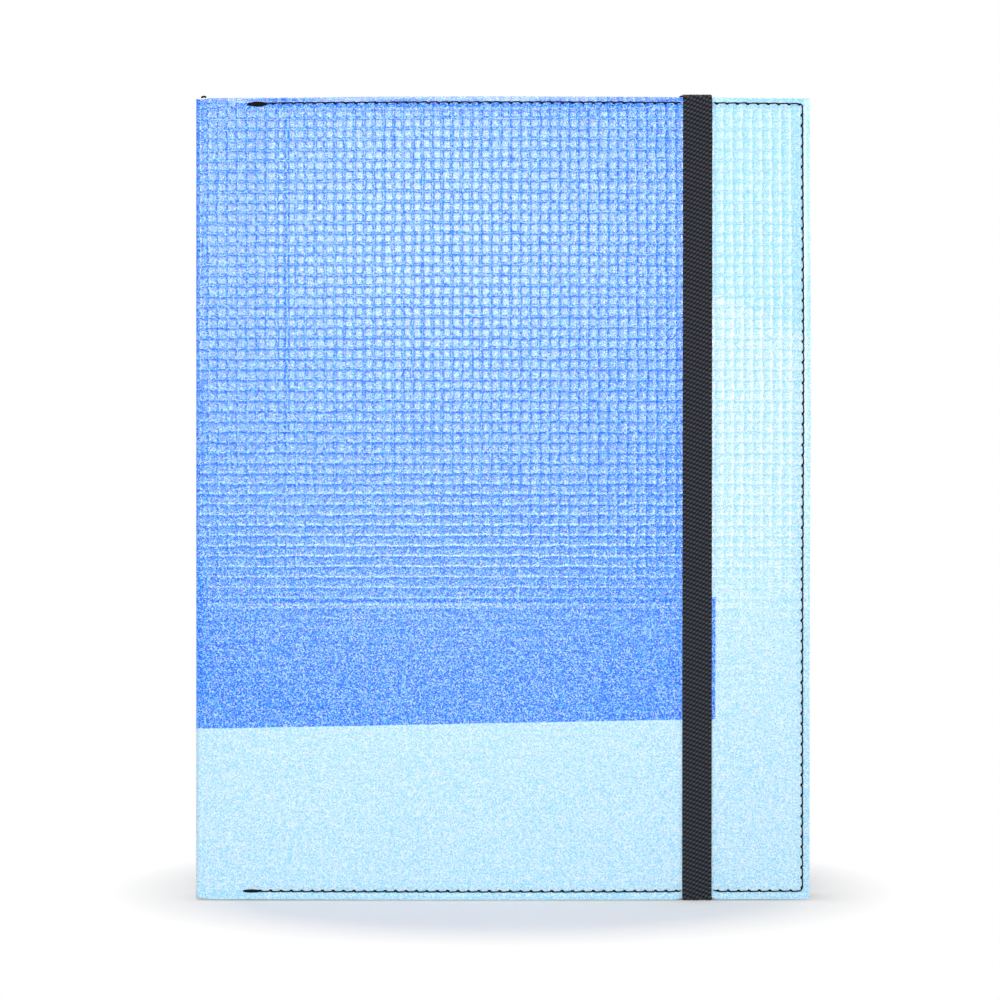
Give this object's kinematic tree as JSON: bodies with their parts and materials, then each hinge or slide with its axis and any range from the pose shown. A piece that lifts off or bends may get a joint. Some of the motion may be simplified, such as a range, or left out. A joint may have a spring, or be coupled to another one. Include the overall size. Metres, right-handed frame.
{
  "type": "trading card binder",
  "caption": "Card binder standing on its tail: printed wraparound cover with sewn sleeves, album boards, bound pocket leaves that fan open, and an elastic band closure.",
  "frame": {"origin": "centre of the bounding box's base: the middle of the footprint, on the tail edges that the binder stands on", "axes": "+X from the spine to the fore-edge, +Z from the tail to the head, and the front cover faces -Y"},
  "size_m": [0.257, 0.0326, 0.3372],
  "materials": {
    "printed_sheet": "satin printed vinyl",
    "sleeve_fabric": "matt woven",
    "seam_thread": "matt",
    "album_board": "satin",
    "joint_cloth": "matt",
    "binding_strip": "satin",
    "band_elastic": "matt woven",
    "pocket_film": "clear film on a black sheet"
  },
  "bodies": {
    "spine": {"spine_skin": "printed_sheet", "spine_board": "album_board", "binding_strip": "binding_strip"},
    "front_cover": {"front_skin": "printed_sheet", "front_sleeve": "sleeve_fabric", "front_seam": "seam_thread", "front_head_tack": "seam_thread", "front_tail_tack": "seam_thread", "front_board": "album_board", "front_joint_cloth": "joint_cloth", "head_thread_end": "seam_thread"},
    "rear_cover": {"rear_skin": "printed_sheet", "rear_sleeve": "sleeve_fabric", "rear_seam": "seam_thread", "rear_head_tack": "seam_thread", "rear_tail_tack": "seam_thread", "rear_board": "album_board", "rear_joint_cloth": "joint_cloth", "band_head_end": "band_elastic", "band_tail_end": "band_elastic"},
    "band": {"band_front_run": "band_elastic", "band_head_run": "band_elastic", "band_tail_run": "band_elastic"},
    "leaf_01": {"leaf_01": "pocket_film"},
    "leaf_02": {"leaf_02": "pocket_film"},
    "leaf_03": {"leaf_03": "pocket_film"},
    "leaf_04": {"leaf_04": "pocket_film"},
    "leaf_05": {"leaf_05": "pocket_film"},
    "leaf_06": {"leaf_06": "pocket_film"},
    "leaf_07": {"leaf_07": "pocket_film"},
    "leaf_08": {"leaf_08": "pocket_film"},
    "leaf_09": {"leaf_09": "pocket_film"},
    "leaf_10": {"leaf_10": "pocket_film"},
    "leaf_11": {"leaf_11": "pocket_film"},
    "leaf_12": {"leaf_12": "pocket_film"},
    "leaf_13": {"leaf_13": "pocket_film"},
    "leaf_14": {"leaf_14": "pocket_film"},
    "leaf_15": {"leaf_15": "pocket_film"},
    "leaf_16": {"leaf_16": "pocket_film"},
    "leaf_17": {"leaf_17": "pocket_film"},
    "leaf_18": {"leaf_18": "pocket_film"},
    "leaf_19": {"leaf_19": "pocket_film"},
    "leaf_20": {"leaf_20": "pocket_film"}
  },
  "joints": [
    {"name": "front_cover_fold", "type": "hinge", "parent": "spine", "child": "front_cover", "pos_m": [-0.1285, -0.0151, 0], "axis": [0, 0, -1], "range_deg": [0, 90]},
    {"name": "rear_cover_fold", "type": "hinge", "parent": "spine", "child": "rear_cover", "pos_m": [-0.1285, 0.0163, 0], "axis": [0, 0, 1], "range_deg": [0, 90]},
    {"name": "band_release", "type": "slide", "parent": "rear_cover", "child": "band", "axis": [0, 1, 0], "range_m": [0, 0.0328], "deforming": ["band_front_run", "band_head_run", "band_tail_run"]},
    {"name": "leaf_01_turn", "type": "hinge", "parent": "spine", "child": "leaf_01", "pos_m": [-0.1227, -0.0108, 0], "axis": [0, 0, -1], "range_deg": [0, 82]},
    {"name": "leaf_02_turn", "type": "hinge", "parent": "spine", "child": "leaf_02", "pos_m": [-0.1227, -0.0096, 0], "axis": [0, 0, -1], "range_deg": [0, 73.37]},
    {"name": "leaf_03_turn", "type": "hinge", "parent": "spine", "child": "leaf_03", "pos_m": [-0.1227, -0.0084, 0], "axis": [0, 0, -1], "range_deg": [0, 64.74]},
    {"name": "leaf_04_turn", "type": "hinge", "parent": "spine", "child": "leaf_04", "pos_m": [-0.1227, -0.0072, 0], "axis": [0, 0, -1], "range_deg": [0, 56.1]},
    {"name": "leaf_05_turn", "type": "hinge", "parent": "spine", "child": "leaf_05", "pos_m": [-0.1227, -0.006, 0], "axis": [0, 0, -1], "range_deg": [0, 47.47]},
    {"name": "leaf_06_turn", "type": "hinge", "parent": "spine", "child": "leaf_06", "pos_m": [-0.1227, -0.0048, 0], "axis": [0, 0, -1], "range_deg": [0, 38.84]},
    {"name": "leaf_07_turn", "type": "hinge", "parent": "spine", "child": "leaf_07", "pos_m": [-0.1227, -0.0036, 0], "axis": [0, 0, -1], "range_deg": [0, 30.21]},
    {"name": "leaf_08_turn", "type": "hinge", "parent": "spine", "child": "leaf_08", "pos_m": [-0.1227, -0.0024, 0], "axis": [0, 0, -1], "range_deg": [0, 21.58]},
    {"name": "leaf_09_turn", "type": "hinge", "parent": "spine", "child": "leaf_09", "pos_m": [-0.1227, -0.0012, 0], "axis": [0, 0, -1], "range_deg": [0, 12.95]},
    {"name": "leaf_10_turn", "type": "hinge", "parent": "spine", "child": "leaf_10", "pos_m": [-0.1227, 0, 0], "axis": [0, 0, -1], "range_deg": [0, 4.32]},
    {"name": "leaf_11_turn", "type": "hinge", "parent": "spine", "child": "leaf_11", "pos_m": [-0.1227, 0.0012, 0], "axis": [0, 0, 1], "range_deg": [0, 4.32]},
    {"name": "leaf_12_turn", "type": "hinge", "parent": "spine", "child": "leaf_12", "pos_m": [-0.1227, 0.0024, 0], "axis": [0, 0, 1], "range_deg": [0, 12.95]},
    {"name": "leaf_13_turn", "type": "hinge", "parent": "spine", "child": "leaf_13", "pos_m": [-0.1227, 0.0036, 0], "axis": [0, 0, 1], "range_deg": [0, 21.58]},
    {"name": "leaf_14_turn", "type": "hinge", "parent": "spine", "child": "leaf_14", "pos_m": [-0.1227, 0.0048, 0], "axis": [0, 0, 1], "range_deg": [0, 30.21]},
    {"name": "leaf_15_turn", "type": "hinge", "parent": "spine", "child": "leaf_15", "pos_m": [-0.1227, 0.006, 0], "axis": [0, 0, 1], "range_deg": [0, 38.84]},
    {"name": "leaf_16_turn", "type": "hinge", "parent": "spine", "child": "leaf_16", "pos_m": [-0.1227, 0.0072, 0], "axis": [0, 0, 1], "range_deg": [0, 47.47]},
    {"name": "leaf_17_turn", "type": "hinge", "parent": "spine", "child": "leaf_17", "pos_m": [-0.1227, 0.0084, 0], "axis": [0, 0, 1], "range_deg": [0, 56.1]},
    {"name": "leaf_18_turn", "type": "hinge", "parent": "spine", "child": "leaf_18", "pos_m": [-0.1227, 0.0096, 0], "axis": [0, 0, 1], "range_deg": [0, 64.74]},
    {"name": "leaf_19_turn", "type": "hinge", "parent": "spine", "child": "leaf_19", "pos_m": [-0.1227, 0.0108, 0], "axis": [0, 0, 1], "range_deg": [0, 73.37]},
    {"name": "leaf_20_turn", "type": "hinge", "parent": "spine", "child": "leaf_20", "pos_m": [-0.1227, 0.012, 0], "axis": [0, 0, 1], "range_deg": [0, 82]}
  ],
  "couplings": [
    {"joint": "rear_cover_fold", "follows": "front_cover_fold", "ratio": 1},
    {"joint": "band_release", "follows": "front_cover_fold", "m_per_rad": 0.020881},
    {"joint": "leaf_01_turn", "follows": "front_cover_fold", "ratio": 0.91111},
    {"joint": "leaf_02_turn", "follows": "front_cover_fold", "ratio": 0.8152},
    {"joint": "leaf_03_turn", "follows": "front_cover_fold", "ratio": 0.7193},
    {"joint": "leaf_04_turn", "follows": "front_cover_fold", "ratio": 0.62339},
    {"joint": "leaf_05_turn", "follows": "front_cover_fold", "ratio": 0.52749},
    {"joint": "leaf_06_turn", "follows": "front_cover_fold", "ratio": 0.43158},
    {"joint": "leaf_07_turn", "follows": "front_cover_fold", "ratio": 0.33568},
    {"joint": "leaf_08_turn", "follows": "front_cover_fold", "ratio": 0.23977},
    {"joint": "leaf_09_turn", "follows": "front_cover_fold", "ratio": 0.14386},
    {"joint": "leaf_10_turn", "follows": "front_cover_fold", "ratio": 0.047955},
    {"joint": "leaf_11_turn", "follows": "front_cover_fold", "ratio": 0.047955},
    {"joint": "leaf_12_turn", "follows": "front_cover_fold", "ratio": 0.14386},
    {"joint": "leaf_13_turn", "follows": "front_cover_fold", "ratio": 0.23977},
    {"joint": "leaf_14_turn", "follows": "front_cover_fold", "ratio": 0.33568},
    {"joint": "leaf_15_turn", "follows": "front_cover_fold", "ratio": 0.43158},
    {"joint": "leaf_16_turn", "follows": "front_cover_fold", "ratio": 0.52749},
    {"joint": "leaf_17_turn", "follows": "front_cover_fold", "ratio": 0.62339},
    {"joint": "leaf_18_turn", "follows": "front_cover_fold", "ratio": 0.7193},
    {"joint": "leaf_19_turn", "follows": "front_cover_fold", "ratio": 0.8152},
    {"joint": "leaf_20_turn", "follows": "front_cover_fold", "ratio": 0.91111}
  ]
}
